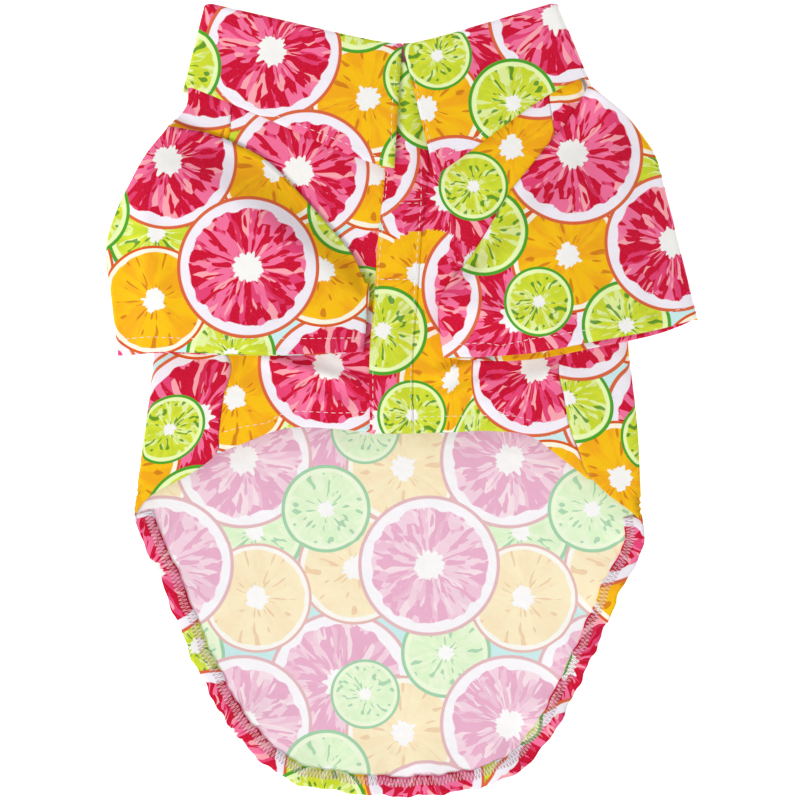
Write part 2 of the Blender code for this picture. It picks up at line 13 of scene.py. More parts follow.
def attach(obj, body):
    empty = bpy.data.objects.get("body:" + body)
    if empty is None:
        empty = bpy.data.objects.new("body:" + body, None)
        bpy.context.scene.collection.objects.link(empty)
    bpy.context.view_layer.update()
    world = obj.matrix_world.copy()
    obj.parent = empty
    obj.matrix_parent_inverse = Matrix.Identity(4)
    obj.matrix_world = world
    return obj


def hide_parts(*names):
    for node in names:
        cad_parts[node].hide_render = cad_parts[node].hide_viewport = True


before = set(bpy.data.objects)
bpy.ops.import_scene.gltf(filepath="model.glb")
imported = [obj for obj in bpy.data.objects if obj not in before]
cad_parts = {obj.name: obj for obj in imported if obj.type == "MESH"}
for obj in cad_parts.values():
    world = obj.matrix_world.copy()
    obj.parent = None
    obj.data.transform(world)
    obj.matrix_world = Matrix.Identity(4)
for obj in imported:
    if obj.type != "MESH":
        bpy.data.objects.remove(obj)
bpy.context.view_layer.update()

# Sizes of the shirt in metres, where the model's source has them the same as there
BACK_LENGTH = 0.3385
BELLY_LENGTH = 0.171
HALF_WIDTH = 0.111
BODY_LOFT = 0.017
EDGE_LOFT = 0.006
SLEEVE_LENGTH = 0.105
SLEEVE_OPENING = 0.115
SLEEVE_LOFT = 0.0125
SLEEVE_EDGE = 0.005
SLEEVE_DROP = 0.014
COLLAR_LEFT = 0.0913
COLLAR_RIGHT = 0.072
COLLAR_STAND = 0.0258
COLLAR_FALL = 0.0575
COLLAR_ROLL = 0.0036
NECK_DIP = 0.0184
PLACKET_WIDTH = 0.020
HEM_WIDTH = 0.009
HEM_WAVE = 0.0011
HEM_WAVE_LENGTH = 0.034
EDGE_CURL = 0.0012
CURL_REACH = 0.016
LAYER = 0.0012             # wall of the cloth in the source, which spaces the layers
CLOTH = 0.0007             # wall of the cloth as it shows
GAP = 0.0003
SLEEVE_CLEARANCE = 0.0012
BAND_TOP = -0.10           # the band's ends along the belly, the upper one under the collar
BAND_END = 1.003
CLOSURE_TOP = 0.40
CLOSURE_END = 0.96
BAND_LIFT = 0.0021         # the band's outside above the belly panels
FLUSH = 0.0003             # where the band's right edge runs on into the right front
SEAM = 0.0001              # gap that shows along a seam
ARMHOLE_TUCK = 0.006       # how far the belly panel goes on under the sleeve
SLEEVE_PEEK = {-1: 0.0006, 1: 0.0030}   # how far a sleeve's lower layer shows below its hem
SLEEVE_HEM_TURN = 0.009    # turned-in hem of the sleeves
SCALLOP = 0.0005           # waves of the tail's edge in the plane of the cloth
SCALLOP_LENGTH = 0.021
RIPPLE_LENGTH = 0.0093     # shorter and lower waves on them
DRIFT = 0.004              # how far the waves stray from an even distance
DRIFT_LENGTH = 0.017
CLOSURE_WIDTH = 0.012
THREAD_WIDTH = 0.00034
THREAD_HEIGHT = 0.42       # half of a stitch's height and how far it rises, in shares of its width
THREAD_RISE = 0.12
STITCH = 0.0025
STITCH_GAP = 0.0009
NET_WIDTH = 0.00028        # thread of the overlock net
NET_PITCH = 0.0017
NET_REACH = 0.0048
NET_MARGIN = 0.0002        # from the net to the hem's raw edge

PIXEL = 0.00046            # metres a pixel of the photograph
PICTURE = 800              # pixels along each side of it
ORIGIN = (402.5, 400.5)    # the pixel where x and y are 0

# Places worked out from those sizes, in metres
NECK_LINE = (BACK_LENGTH + COLLAR_STAND) / 2 - COLLAR_STAND
NECK_LIFT = COLLAR_ROLL - LAYER
BACK_FALL = 0.72 * COLLAR_FALL
LIFT_END = BACK_FALL + NECK_DIP - COLLAR_STAND + 4 * LAYER
LIFT_RUN = 5 * COLLAR_ROLL


def table(columns, rows):
    """Rows whose values are read by the names of their columns."""
    row = namedtuple("Row", columns)
    return [row(*values) for values in rows]


# Outlines of the pieces. Along is in shares of a length from the neckline down, across in shares
# of HALF_WIDTH from the centre line
BODY = table("along left right loft edge", [
    (0.000, 0.850, 0.705, 0.80, 1.00),
    (0.045, 0.906, 0.765, 0.84, 1.00),
    (0.089, 0.980, 0.806, 0.88, 1.00),
    (0.257, 1.013, 0.901, 1.00, 1.00),
    (0.411, 1.034, 0.943, 0.95, 0.95),
    (0.490, 1.063, 0.972, 0.80, 0.85),
    (0.590, 1.104, 0.988, 0.50, 0.65),
    (0.617, 1.113, 0.993, 0.40, 0.60),
    (0.650, 1.080, 1.005, 0.40, 0.60),
    (0.717, 0.988, 0.910, 0.40, 0.60),
    (0.808, 0.877, 0.789, 0.40, 0.60),
    (0.884, 0.760, 0.678, 0.40, 0.60),
])

SIDES_OPEN = BODY[6].along      # where the side folds end and the edge begins to curl
TAIL_BEGINS = BODY[7].along     # where the tail's hem begins
TAIL_NARROWS = BODY[8].along    # from here the back's rows bend round to the end of the tail

TAIL_END = table("at across along", [
    (0.00, -0.760, 0.884),
    (0.10, -0.690, 0.916),
    (0.22, -0.578, 0.954),
    (0.33, -0.454, 0.980),
    (0.47, -0.213, 0.995),
    (0.56, -0.010, 1.000),
    (0.66, 0.218, 0.994),
    (0.78, 0.412, 0.978),
    (0.90, 0.566, 0.941),
    (1.00, 0.678, 0.884),
])

BELLY_HEM = table("across along", [
    (-0.765, 1.053),
    (-0.669, 1.029),
    (-0.495, 0.988),
    (-0.271, 0.988),
    (-0.093, 1.000),
    (0.189, 0.997),
    (0.387, 0.994),
    (0.537, 1.010),
    (0.657, 1.066),
    (0.769, 1.123),
])

WRAP_EDGE = table("along left right", [
    (0.000, 0.707, 0.600),
    (0.140, 0.710, 0.618),
    (0.200, 0.722, 0.638),
    (0.281, 0.860, 0.752),
    (0.456, 0.939, 0.835),
    (0.600, 0.922, 0.835),
    (0.725, 0.818, 0.756),
    (0.800, 0.715, 0.655),
    (0.900, 0.740, 0.668),
    (1.000, 0.760, 0.700),
    (1.053, 0.770, 0.730),
    (1.105, 0.870, 0.765),
    (1.163, 1.035, 0.850),
    (1.217, 1.113, 0.965),
])

FRONT_EDGE = {
    -1: table("at across along", [
        (0.00, 0.702, 0.000),
        (0.16, 0.708, 0.190),
        (0.27, 0.600, 0.262),
        (0.38, 0.470, 0.325),
        (0.50, 0.285, 0.448),
        (0.60, 0.150, 0.560),
        (0.67, 0.150, 0.640),
        (0.74, 0.350, 0.705),
        (0.82, 0.706, 0.800),
        (0.91, 0.738, 0.925),
        (1.00, 0.765, 1.053),
    ]),
    1: table("at across along", [
        (0.00, 0.595, 0.000),
        (0.16, 0.626, 0.190),
        (0.27, 0.560, 0.275),
        (0.38, 0.455, 0.350),
        (0.50, 0.330, 0.470),
        (0.60, 0.245, 0.560),
        (0.67, 0.260, 0.635),
        (0.74, 0.400, 0.700),
        (0.82, 0.648, 0.800),
        (0.91, 0.672, 0.925),
        (1.00, 0.764, 1.123),
    ]),
}

PLACKET = table("along left", [
    (0.110, -0.073),
    (0.294, -0.073),
    (0.491, -0.102),
    (0.649, -0.118),
    (0.780, -0.135),
    (0.967, -0.135),
])

ARMHOLE = {
    -1: table("at seam_across seam_along under_across under_along", [
        (0.00, 0.985, 0.180, 0.985, 0.180),
        (0.14, 0.839, 0.195, 0.975, 0.375),
        (0.30, 0.680, 0.232, 0.914, 0.560),
        (0.44, 0.550, 0.278, 0.789, 0.658),
        (0.60, 0.400, 0.372, 0.582, 0.706),
        (0.75, 0.288, 0.446, 0.350, 0.706),
        (0.88, 0.180, 0.525, 0.200, 0.665),
        (1.00, 0.122, 0.600, 0.122, 0.600),
    ]),
    1: table("at seam_across seam_along under_across under_along", [
        (0.00, 0.800, 0.072, 0.800, 0.072),
        (0.14, 0.711, 0.160, 0.880, 0.294),
        (0.30, 0.620, 0.222, 0.850, 0.483),
        (0.44, 0.530, 0.288, 0.785, 0.617),
        (0.60, 0.430, 0.362, 0.620, 0.692),
        (0.75, 0.330, 0.462, 0.420, 0.700),
        (0.88, 0.260, 0.525, 0.280, 0.660),
        (1.00, 0.184, 0.585, 0.184, 0.585),
    ]),
}

SLEEVE_HEM = {
    -1: table("at across drop", [
        (0.00, 1.030, 1.000),
        (0.13, 0.905, 0.985),
        (0.35, 0.680, 0.990),
        (0.70, 0.330, 0.995),
        (1.00, 0.030, 0.985),
    ]),
    1: table("at across drop", [
        (0.00, 1.013, 1.020),
        (0.13, 0.875, 1.060),
        (0.35, 0.590, 1.115),
        (0.70, 0.290, 1.170),
        (1.00, -0.025, 1.185),
    ]),
}

SLEEVE_BOW = table("down left right inner_left inner_right", [
    (0.00, 0.000, 0.000, 0.000, 0.000),
    (0.10, 0.060, 0.080, 0.000, 0.012),
    (0.25, 0.110, 0.127, 0.000, 0.028),
    (0.50, 0.156, 0.098, 0.000, 0.035),
    (0.75, 0.083, 0.050, 0.000, 0.022),
    (1.00, 0.000, 0.000, 0.000, 0.000),
])

COLLAR = table("at left_drop left_spread right_drop right_spread", [
    (0.00, 1.00, 0.060, 1.05, 0.250),
    (0.25, 0.93, 0.090, 0.92, 0.240),
    (0.50, 0.84, 0.110, 0.79, 0.235),
    (0.75, 0.75, 0.136, 0.66, 0.250),
    (1.00, 0.67, 0.168, 0.59, 0.256),
])

SOFT_FOLDS = table("piece across along end_across end_along width height", [
    ("body", -0.58, 0.80, -0.20, 0.87, 0.035, 0.17),
    ("body", -0.50, 0.86, -0.24, 0.93, 0.030, 0.08),
    ("body", 0.155, 0.84, 0.33, 0.81, 0.025, 0.16),
    ("body", 0.19, 0.90, 0.34, 0.86, 0.022, 0.10),
    ("body", 0.36, 0.92, 0.60, 0.84, 0.045, 0.11),
    ("sleeve_left", -0.20, 0.60, -0.62, 0.76, 0.06, 0.12),
    ("sleeve_left", -1.10, 0.38, -0.98, 0.70, 0.05, 0.10),
    ("sleeve_left", -0.90, 0.25, -0.45, 0.50, 0.06, 0.08),
    ("sleeve_right", 0.22, 0.66, 0.60, 0.72, 0.06, 0.12),
    ("sleeve_right", 1.00, 0.25, 1.05, 0.62, 0.05, 0.10),
    ("sleeve_right", 0.80, 0.22, 0.45, 0.52, 0.06, 0.08),
])

# The print: one repeat of citrus slices, in millimetres, seen from the outside with y up.
# Slices later in the list lie under the earlier ones
PRINT_REPEAT = 0.1224
SLICES = table("fruit x y radius", [
    ("grapefruit", 36.8, -49.2, 32.6),
    ("lime", 66.2, -108.6, 16.0),
    ("lime", -38.2, -23.0, 20.5),
    ("grapefruit", 0.0, 0.0, 31.8),
    ("orange", -6.4, -64.4, 25.2),
    ("orange", 71.3, -50.6, 26.0),
    ("lime", 29.0, -89.7, 20.7),
    ("orange", 48.8, -4.1, 26.5),
    ("grapefruit", 77.3, -104.0, 33.6),
    ("lime", -5.5, -33.6, 23.0),
])

CURVES = {}


def read(rows, column, at):
    """The value of a column at a place along the table's first column, on a smooth curve."""
    key = (id(rows), column)
    if key not in CURVES:
        along = [row[0] for row in rows]
        values = [getattr(row, column) for row in rows]
        CURVES[key] = along, values, np.gradient(values, along).tolist()
    along, values, slopes = CURVES[key]
    at = min(max(at, along[0]), along[-1])
    i = min(bisect.bisect_right(along, at) - 1, len(along) - 2)
    run = along[i + 1] - along[i]
    t = (at - along[i]) / run
    start = values[i] * (1 + 2 * t) * (1 - t) ** 2 + slopes[i] * run * t * (1 - t) ** 2
    end = values[i + 1] * (3 - 2 * t) * t ** 2 - slopes[i + 1] * run * (1 - t) * t ** 2
    return start + end


def ease(value):
    """0 below 0, 1 above 1, and a smooth step between."""
    value = min(max(value, 0.0), 1.0)
    return value * value * (3 - 2 * value)


def side_name(side):
    return "left" if side < 0 else "right"


def back_y(along):
    return NECK_LINE - along * BACK_LENGTH


def belly_y(along):
    return NECK_LINE - along * BELLY_LENGTH


def collar_reach(side):
    return COLLAR_LEFT if side < 0 else COLLAR_RIGHT


def collar_side(y, side):
    """From the centre line to the outside of the collar's side fold."""
    drop = COLLAR[-1].left_drop if side < 0 else COLLAR[-1].right_drop
    spread = COLLAR[-1].left_spread if side < 0 else COLLAR[-1].right_spread
    down = (NECK_LINE + COLLAR_STAND - y) / (drop * COLLAR_FALL)
    return collar_reach(side) + spread * COLLAR_FALL * min(max(down, 0.0), 1.0), down


def half_width(y, side):
    """From the centre line to the outside of the body's side fold, which passes inside the collar."""
    free = HALF_WIDTH * read(BODY, side_name(side), (NECK_LINE - y) / BACK_LENGTH)
    collar, down = collar_side(y, side)
    room = collar - 2 * LAYER
    return min(free, room) + max(free - room, 0.0) * ease((down - 1.1) / 0.4)


def neck_drop(x):
    """How far the neckline and the collar's roll have dropped at a place across."""
    rounding = 0.014
    out = math.sqrt(min(abs(x) / collar_reach(x), 1.0) ** 2 + rounding)
    side, centre = math.sqrt(1 + rounding), math.sqrt(rounding)
    return NECK_DIP * (side - out) / (side - centre)


def neck_shift(x, y):
    """The cloth below the neckline follows its drop, less and less."""
    return neck_drop(x) * ease(1 - (NECK_LINE - y) / (4 * NECK_DIP))


def floor_lift(y):
    """The back of the body rises over the back of the collar, which lies under it."""
    return NECK_LIFT * ease((y - (NECK_LINE - LIFT_END - LIFT_RUN)) / LIFT_RUN)


def soft_folds(piece, x, y):
    """Height that the soft folds of a piece add at a place."""
    height = 0.0
    for fold in SOFT_FOLDS:
        if fold.piece != piece:
            continue
        start_x, start_y = fold.across * HALF_WIDTH, belly_y(fold.along)
        run_x, run_y = fold.end_across * HALF_WIDTH - start_x, belly_y(fold.end_along) - start_y
        share = ((x - start_x) * run_x + (y - start_y) * run_y) / (run_x ** 2 + run_y ** 2)
        share = min(max(share, 0.0), 1.0)
        away = math.hypot(x - start_x - share * run_x, y - start_y - share * run_y)
        height += fold.height * BODY_LOFT * math.exp(-((away / (fold.width * HALF_WIDTH)) ** 2))
    return height


def edge_height(y):
    return max(EDGE_LOFT * read(BODY, "edge", (NECK_LINE - y) / BACK_LENGTH), 3 * LAYER)


def body_top(x, y):
    """Outside of the belly side of the body."""
    edge = edge_height(y)
    middle = max(BODY_LOFT * read(BODY, "loft", (NECK_LINE - y) / BACK_LENGTH), edge)
    across = min(abs(x) / half_width(y, x), 1.0)
    return edge + (middle - edge) * (1 - across ** 2) + soft_folds("body", x, y)


def under_sleeve(x, y):
    """What a sleeve lies on: the body, and beside it the surface under the shirt."""
    beyond = (abs(x) - half_width(y, x) - 2 * LAYER) / SLEEVE_DROP
    return body_top(x, y) * (1 - ease(beyond))


def tail_outline(count):
    """The tail's edge from its left to its right side, as evenly spaced points."""
    starts = np.linspace(TAIL_BEGINS, BODY[-1].along, 24)
    left = [(-HALF_WIDTH * read(BODY, "left", a), back_y(a)) for a in starts]
    right = [(HALF_WIDTH * read(BODY, "right", a), back_y(a)) for a in starts]
    ends = np.linspace(0, 1, 48)[1:-1]
    end = [(HALF_WIDTH * read(TAIL_END, "across", t), back_y(read(TAIL_END, "along", t))) for t in ends]
    points = np.array(left + end + right[::-1])
    lengths = np.concatenate([[0], np.cumsum(np.linalg.norm(np.diff(points, axis=0), axis=1))])
    places = np.linspace(0, lengths[-1], count)
    return np.column_stack([np.interp(places, lengths, points[:, i]) for i in (0, 1)]), places


TAIL_EDGE, TAIL_PLACES = tail_outline(480)


def along_edge(index):
    """The way that the tail's edge runs at one of its points."""
    ahead = TAIL_EDGE[min(index + 6, len(TAIL_EDGE) - 1)] - TAIL_EDGE[max(index - 6, 0)]
    return ahead / np.linalg.norm(ahead)


def edge_inward(index):
    """The way from the tail's edge into the cloth."""
    ahead = along_edge(index)
    return np.array([-ahead[1], ahead[0]])


def tail_height(x, y):
    """The tail's edge lifts a little off the surface, in waves along the hem."""
    away = np.hypot(TAIL_EDGE[:, 0] - x, TAIL_EDGE[:, 1] - y)
    nearest = int(np.argmin(away))
    wave = HEM_WAVE * math.sin(2 * math.pi * TAIL_PLACES[nearest] / HEM_WAVE_LENGTH)
    fade = math.exp(-((away[nearest] / CURL_REACH) ** 2))
    begin = ease((back_y(SIDES_OPEN) - y) / (4 * EDGE_LOFT))
    return (EDGE_CURL + wave) * fade * begin


def scallop(x, y):
    """How far the tail's edge moves out and in along the hem: less and less away from it."""
    away = np.hypot(TAIL_EDGE[:, 0] - x, TAIL_EDGE[:, 1] - y)
    nearest = int(np.argmin(away))
    ahead = along_edge(nearest)
    place = TAIL_PLACES[nearest] + DRIFT * math.sin(TAIL_PLACES[nearest] / DRIFT_LENGTH)
    wave = math.sin(math.tau * place / SCALLOP_LENGTH)
    wave += 0.6 * math.sin(math.tau * place / RIPPLE_LENGTH)
    wave *= SCALLOP
    wave *= math.exp(-((away[nearest] / CURL_REACH) ** 2))
    wave *= ease((back_y(TAIL_BEGINS) - y) / (2 * CURL_REACH))
    return wave * ahead[1], -wave * ahead[0]


def wrap_edge(y, side):
    """How far from the centre line the back panel ends on the belly side."""
    return HALF_WIDTH * read(WRAP_EDGE, side_name(side), (NECK_LINE - y) / BELLY_LENGTH)


def around_side(distance, y, side):
    """The back panel's outside at a distance from the centre line, up round the side fold."""
    low = floor_lift(y)
    radius = (edge_height(y) - low) / 2
    flat = half_width(y, side) - radius
    if distance <= flat:
        return side * distance, low
    turn = (distance - flat) / radius
    if turn <= math.pi:
        return side * (flat + radius * math.sin(turn)), low + radius * (1 - math.cos(turn))
    x = flat - (distance - flat - math.pi * radius)
    return side * x, body_top(side * x, y)


def sheet_length(y, side):
    """From the centre line over the side fold to the back panel's edge."""
    radius = (edge_height(y) - floor_lift(y)) / 2
    flat = half_width(y, side) - radius
    last = belly_y(WRAP_EDGE[-1].along)
    wrapped = math.pi * radius + flat - wrap_edge(y, side)
    opened = 0.7 * radius
    return flat + wrapped + (opened - wrapped) * ease((last - y) / (5 * LAYER))


def patch(u, v, first, last, left, right):
    """A point of a surface spanned by four edges, each a function of 0 to 1 that gives x and y."""
    first_u, last_u = np.array(first(u)), np.array(last(u))
    left_v, right_v = np.array(left(v)), np.array(right(v))
    corners = (1 - u) * ((1 - v) * np.array(first(0)) + v * np.array(last(0)))
    corners += u * ((1 - v) * np.array(first(1)) + v * np.array(last(1)))
    return (1 - v) * first_u + v * last_u + (1 - u) * left_v + u * right_v - corners


class Value:
    """A socket that takes part in Python arithmetic, which adds Math nodes."""

    def __init__(self, look, socket):
        self.look = look
        self.socket = socket

    def math(self, operation, *others):
        return self.look.node("ShaderNodeMath", {"operation": operation}, [self, *others])

    def __add__(self, other):
        return self.math("ADD", other)

    __radd__ = __add__

    def __sub__(self, other):
        return self.math("SUBTRACT", other)

    def __rsub__(self, other):
        return self.look.node("ShaderNodeMath", {"operation": "SUBTRACT"}, [other, self])

    def __mul__(self, other):
        return self.math("MULTIPLY", other)

    __rmul__ = __mul__

    def __lt__(self, other):
        return self.math("LESS_THAN", other)

    def __gt__(self, other):
        return self.math("GREATER_THAN", other)

    def __abs__(self):
        return self.math("ABSOLUTE")

    def sin(self):
        return self.math("SINE")

    def cos(self):
        return self.math("COSINE")

    def rise(self, low, high):
        """0 up to low, 1 from high on, and a smooth step between."""
        settings = {"interpolation_type": "SMOOTHSTEP"}
        return self.look.node("ShaderNodeMapRange", settings, [self, low, high, 0.0, 1.0])


class Look:
    """One material and the nodes that it is made of."""

    def __init__(self, name):
        self.material = bpy.data.materials.new(name)
        self.material.use_nodes = True
        self.tree = self.material.node_tree
        self.shader = self.tree.nodes["Principled BSDF"]

    def node(self, kind, settings, sockets, output=0):
        """Adds a node: its settings first, then the values or links of its sockets."""
        node = self.tree.nodes.new(kind)
        for name, value in settings.items():
            setattr(node, name, value)
        places = sockets.items() if isinstance(sockets, dict) else enumerate(sockets)
        for place, value in places:
            self.feed(node.inputs[place], value)
        return Value(self, node.outputs[output])

    def feed(self, socket, value):
        if isinstance(value, Value):
            self.tree.links.new(value.socket, socket)
        else:
            socket.default_value = value

    def blend(self, share, first, second):
        """A colour between two colours."""
        sockets = {"Factor": share, 6: colour(first), 7: colour(second)}
        return self.node("ShaderNodeMix", {"data_type": "RGBA"}, sockets, output=2)

    def choose(self, share, first, second):
        """A vector between two vectors."""
        sockets = {"Factor": share, 4: first, 5: second}
        return self.node("ShaderNodeMix", {"data_type": "VECTOR"}, sockets, output=1)

    def vector(self, operation, *values, output=0):
        return self.node("ShaderNodeVectorMath", {"operation": operation}, list(values), output)

    def parts(self, vector):
        node = self.tree.nodes.new("ShaderNodeSeparateXYZ")
        self.feed(node.inputs[0], vector)
        return [Value(self, output) for output in node.outputs]

    def join(self, x, y, z):
        return self.node("ShaderNodeCombineXYZ", {}, [x, y, z])

    def noise(self, vector, scale, detail=2.0, roughness=0.5):
        sockets = {"Vector": vector, "Scale": scale, "Detail": detail, "Roughness": roughness}
        return self.node("ShaderNodeTexNoise", {}, sockets)

    def finish(self, **sockets):
        for name, value in sockets.items():
            self.feed(self.shader.inputs[name.replace("_", " ")], value)
        return self.material


def colour(value):
    """Screen colours from 0 to 255 become the shader's linear ones."""
    if isinstance(value, Value):
        return value
    linear = [(c / 255 / 12.92) if c <= 10 else ((c / 255 + 0.055) / 1.055) ** 2.4 for c in value]
    return (*linear, 1.0)


def top_slice(look, place):
    """Place inside the uppermost slice in shares of its radius, with the slice's number as z."""
    found = look.join(0.0, 0.0, -1.0)
    half = (PRINT_REPEAT / 2,) * 3
    low = (-PRINT_REPEAT / 2,) * 3
    for number in reversed(range(len(SLICES))):
        here = SLICES[number]
        centre = (here.x / 1000, here.y / 1000, 0.0)
        away = look.vector("WRAP", look.vector("SUBTRACT", place, centre), half, low)
        share = 1000 / here.radius
        inside = look.vector("LENGTH", away, output=1) < here.radius / 1000
        local = look.vector("MULTIPLY_ADD", away, (share, share, 0.0), (0.0, 0.0, float(number)))
        found = look.choose(inside, found, local)
    return found


def print_colours(look, place, faded):
    """The colour of the print at a place of the flat cloth."""
    tones = FADED_TONES if faded else PRINT_TONES
    x, y, number = look.parts(top_slice(look, place))
    out = look.vector("LENGTH", look.join(x, y, 0.0), output=1)
    around = look.vector("NORMALIZE", look.join(x, y, 0.0))
    turn_x, turn_y, nothing = look.parts(around)

    def streaks(spread, along):
        """Coordinates that stretch a pattern out from the slice's centre."""
        return look.join(turn_x * spread, turn_y * spread, out * along + number * 7.3)

    def dressed(pulp, rind, pulp_end, rim, rim_from, rim_to, heart_end, soft):
        """A slice: pulp inside, rind and rim outside it, and the heart in its middle."""
        flesh = look.blend((out - pulp_end).rise(*soft[0]), pulp, tones[rind])
        flesh = look.blend(out.rise(rim_from, rim_to), flesh, tones[rim])
        return look.blend((out - heart_end).rise(*soft[1]), tones["heart"], flesh)

    crisp = (-0.006, 0.010), (-0.008, 0.012)
    blurred = (-0.01, 0.02), (-0.01, 0.02)

    star = look.noise(streaks(1.9, 0.0), 1.6, 1.0)
    lobes = look.noise(streaks(4.6, 0.0), 1.0, 0.0)
    shade = look.noise(streaks(7.0, 2.8), 1.0, 1.0)
    warm = look.noise(streaks(2.2, 1.2), 1.0, 3.0, 0.6)

    # Each stroke of pulp is a cell of a stretched pattern, bent a little
    swirl = look.noise(streaks(2.0, 2.6), 1.0, 1.0) - 0.5
    lean = look.noise(streaks(1.7, 2.2), 1.4, 1.0) - 0.5
    bent = look.vector("ADD", streaks(6.4, 3.4), look.join(swirl * 1.7, lean * 1.7, swirl * 2.0))
    stroke = look.parts(look.node("ShaderNodeTexVoronoi", {}, {"Vector": bent, "Scale": 1.0}, 1))

    # Grapefruit: rim, rind, pulp of long strokes and a white heart
    pulp = look.blend(stroke[0].rise(0.36, 0.40), tones["crimson"], tones["deep pink"])
    pulp = look.blend(stroke[0].rise(0.50, 0.54), pulp, tones["pink"])
    pulp = look.blend(stroke[0].rise(0.84, 0.88), pulp, tones["salmon"])
    pulp = look.blend(shade.rise(0.60, 0.64), pulp, tones["crimson"])
    pulp = look.blend((1 - shade).rise(0.66, 0.70), pulp, tones["salmon"])
    grapefruit = dressed(pulp, "rind", lobes * 0.13 + stroke[1] * 0.02 + 0.745, "coral rim",
                         0.945, 0.96, star * 0.13 + lobes * 0.12 + 0.08, crisp)

    # Orange: warm rim, cream rind, yellow pulp with short brown ticks
    pulp = look.blend(warm.rise(0.42, 0.62), tones["yellow"], tones["amber"])
    ticks = look.noise(streaks(6.5, 3.6), 1.0, 0.0)
    pulp = look.blend(ticks.rise(0.67, 0.72) * 0.8, pulp, tones["tick"])
    orange = dressed(pulp, "cream", lobes * 0.05 + 0.845, "orange rim",
                     0.945, 0.958, star * 0.17 + lobes * 0.10 + 0.07, crisp)

    # Lime: green rim, pale rind, yellow green pulp with dark flecks
    pulp = look.blend(warm.rise(0.35, 0.65), tones["lime"], tones["leaf"])
    pulp = look.blend(stroke[0].rise(0.62, 0.68) * 0.7, pulp, tones["lime rind"])
    pulp = look.blend(shade.rise(0.56, 0.62) * 0.6, pulp, tones["leaf"])
    flecks = look.noise(streaks(5.2, 4.2), 1.0, 0.0)
    pulp = look.blend(flecks.rise(0.655, 0.70) * 0.85, pulp, tones["fleck"])
    lime = dressed(pulp, "lime rind", lobes * 0.06 + 0.79, "lime rim",
                   0.915, 0.935, star * 0.12 + lobes * 0.12 + 0.045, blurred)

    found = grapefruit
    for index, here in enumerate(SLICES):
        if here.fruit != "grapefruit":
            mine = abs(number - float(index)) < 0.5
            found = look.blend(mine, found, lime if here.fruit == "lime" else orange)
    return look.blend(number < -0.5, found, tones["ground"])


PRINT_TONES = {
    "crimson": (208, 0, 50), "deep pink": (232, 66, 118), "pink": (246, 114, 158),
    "salmon": (254, 168, 178), "rind": (248, 242, 251), "coral rim": (222, 102, 58),
    "heart": (250, 249, 246), "yellow": (252, 194, 4), "amber": (247, 172, 14),
    "tick": (208, 112, 16), "cream": (255, 249, 228), "orange rim": (222, 90, 24),
    "lime": (219, 229, 56), "leaf": (200, 217, 44), "fleck": (58, 138, 36),
    "lime rind": (238, 253, 184), "lime rim": (76, 164, 36), "ground": (206, 240, 240),
}
FADED_TONES = {
    "crimson": (238, 180, 207), "deep pink": (244, 200, 219), "pink": (249, 215, 229),
    "salmon": (252, 228, 235), "rind": (254, 251, 254), "coral rim": (232, 190, 194),
    "heart": (255, 254, 253), "yellow": (255, 241, 203), "amber": (254, 235, 196),
    "tick": (242, 206, 168), "cream": (255, 253, 245), "orange rim": (235, 190, 184),
    "lime": (234, 252, 215), "leaf": (225, 248, 206), "fleck": (166, 213, 176),
    "lime rind": (243, 253, 224), "lime rim": (166, 214, 174), "ground": (206, 240, 240),
}


def weave_height(look, place):
    """Plain weave of the cotton: threads over and under each other, 0.45 mm apart."""
    x, y, nothing = look.parts(place)
    pitch = math.tau / 0.0009
    crossed = (x * pitch).sin() * (y * pitch).sin()
    along = (x * (2 * pitch)).cos() * (crossed > 0.0) + (y * (2 * pitch)).cos() * (crossed < 0.0)
    slubs = look.noise(place, 900.0, 3.0, 0.6)
    return along * 0.5 + slubs


def make_print(name, faded):
    look = Look(name)
    place = look.node("ShaderNodeUVMap", {"uv_map": "cloth"}, {})
    x, y, nothing = look.parts(place)
    place = look.join(x, y, 0.0)
    tone = print_colours(look, place, faded)
    threads = look.noise(place, 1400.0, 2.0)
    tone = look.blend((threads - 0.44) * 0.08, tone, (255, 255, 255))
    bump = look.node("ShaderNodeBump", {}, {
        "Strength": 0.35, "Distance": 0.0001, "Height": weave_height(look, place)})
    creases = look.noise(place, 28.0, 4.0, 0.55)
    soft = look.node("ShaderNodeBump", {}, {
        "Strength": 0.6, "Distance": 0.0040, "Height": creases, "Normal": bump})
    look.shader.inputs["Specular IOR Level"].default_value = 0.15
    return look.finish(Base_Color=tone, Roughness=0.82 + threads * 0.1, Normal=soft)


def make_thread(name, tone):
    look = Look(name)
    place = look.node("ShaderNodeTexCoord", {}, {}, output=3)
    twist = look.noise(place, 2600.0, 2.0)
    shade = look.blend(twist.rise(0.3, 0.7) * 0.25, tone, (214, 206, 206))
    bump = look.node("ShaderNodeBump", {}, {"Strength": 0.4, "Distance": 0.0001, "Height": twist})
    look.shader.inputs["Sheen Weight"].default_value = 0.2
    return look.finish(Base_Color=shade, Roughness=0.6 + twist * 0.2, Normal=bump)


def make_floor_finish():
    look = Look("studio_floor")
    place = look.node("ShaderNodeTexCoord", {}, {}, output=3)
    grain = look.noise(place, 12.0, 3.0)
    tone = look.blend(grain, (252, 252, 252), (255, 255, 255))
    look.shader.inputs["Emission Color"].default_value = (1.0, 1.0, 1.0, 1.0)
    look.shader.inputs["Emission Strength"].default_value = 0.7
    return look.finish(Base_Color=tone, Roughness=0.9)


PRINT = make_print("citrus_print", False)
PRINT_INSIDE = make_print("citrus_print_inside", True)
WHITE_THREAD = make_thread("white_thread", (246, 244, 242))
PALE_THREAD = make_thread("pale_pink_thread", (240, 212, 222))
# Dark thread for the overlock net: its dark colour is painted shade, standing in for the shadow between
# the pale threads
PAINTED_SHADE_THREAD = make_thread("painted_shade_thread", (122, 34, 66))


def photo_x(pixel):
    """Metres across for a pixel of the photograph."""
    return (pixel - ORIGIN[0]) * PIXEL


def photo_y(pixel):
    return (ORIGIN[1] - pixel) * PIXEL


